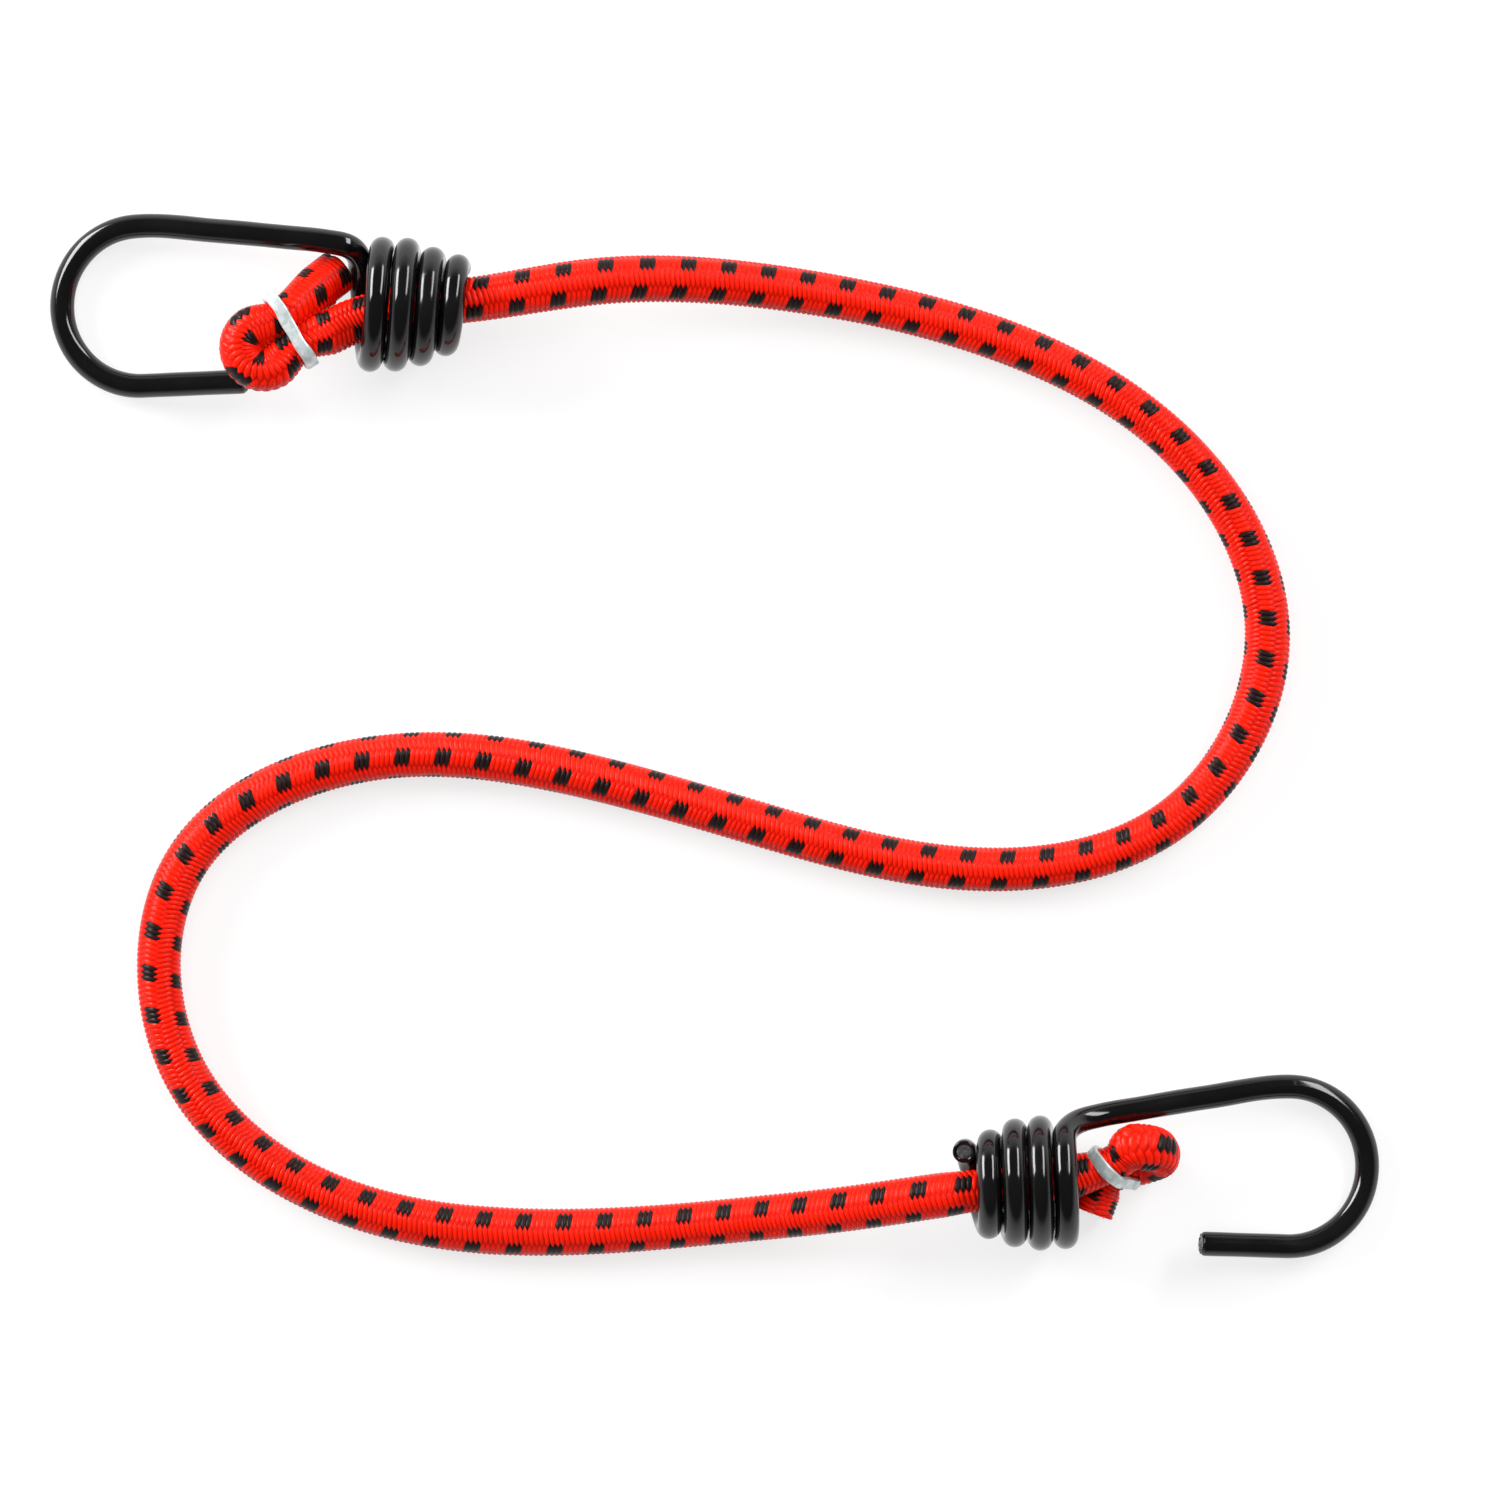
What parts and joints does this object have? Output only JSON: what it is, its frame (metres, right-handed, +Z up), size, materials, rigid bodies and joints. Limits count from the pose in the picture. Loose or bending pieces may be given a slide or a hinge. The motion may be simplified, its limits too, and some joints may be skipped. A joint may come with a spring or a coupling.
{
  "type": "bungee cord",
  "caption": "Braided elastic cord with folded, clipped ends held in the coils of jacketed wire hooks; it stretches and its hooks swivel, for strapping loads down.",
  "frame": {"origin": "on the surface that the cord lies on, under the middle of its box", "axes": "+X from the first hook towards the second, along the longest extent; +Y across the lying S; +Z up"},
  "size_m": [0.2454, 0.1923, 0.025],
  "materials": {
    "sheath": "braided synthetic yarn, bright orange-red with woven-in black flecks",
    "rubber": "natural latex strands, matt",
    "jacket": "smooth glossy black plastic coat",
    "steel": "drawn steel wire",
    "zinc": "zinc-plated flat wire, satin"
  },
  "bodies": {
    "cord": {"cord_sheath": "sheath", "rubber_strand_01": "rubber", "rubber_strand_02": "rubber", "rubber_strand_03": "rubber", "rubber_strand_04": "rubber", "rubber_strand_05": "rubber", "rubber_strand_06": "rubber", "rubber_strand_07": "rubber", "rubber_strand_08": "rubber", "rubber_strand_09": "rubber", "rubber_strand_10": "rubber", "rubber_strand_11": "rubber", "rubber_strand_12": "rubber"},
    "left_end": {"left_end_sheath": "sheath", "left_clip": "zinc"},
    "left_hook": {"left_hook_jacket": "jacket", "left_hook_wire": "steel"},
    "right_end": {"right_end_sheath": "sheath", "right_clip": "zinc"},
    "right_hook": {"right_hook_jacket": "jacket", "right_hook_wire": "steel"}
  },
  "joints": [
    {"name": "left_stretch", "type": "slide", "parent": "cord", "child": "left_end", "axis": [-1, 0, 0], "range_m": [0, 0.06], "stiffness_N_per_m": 1500, "deforming": ["cord_sheath", "rubber_strand_01", "rubber_strand_02", "rubber_strand_03", "rubber_strand_04", "rubber_strand_05", "rubber_strand_06", "rubber_strand_07", "rubber_strand_08", "rubber_strand_09", "rubber_strand_10", "rubber_strand_11", "rubber_strand_12"]},
    {"name": "left_swivel", "type": "hinge", "parent": "left_end", "child": "left_hook", "pos_m": [-0.0658, 0.07935, 0.01145], "axis": [-0.9845, 0, -0.1755], "range_deg": [-110, 0]},
    {"name": "right_stretch", "type": "slide", "parent": "cord", "child": "right_end", "axis": [0.9982, 0.0593, 0], "range_m": [0, 0.06], "stiffness_N_per_m": 1500, "deforming": ["cord_sheath", "rubber_strand_01", "rubber_strand_02", "rubber_strand_03", "rubber_strand_04", "rubber_strand_05", "rubber_strand_06", "rubber_strand_07", "rubber_strand_08", "rubber_strand_09", "rubber_strand_10", "rubber_strand_11", "rubber_strand_12"]},
    {"name": "right_swivel", "type": "hinge", "parent": "right_end", "child": "right_hook", "pos_m": [0.0657, -0.08205, 0.01107], "axis": [0.9839, 0.0585, -0.1687], "range_deg": [-90, 150]}
  ]
}
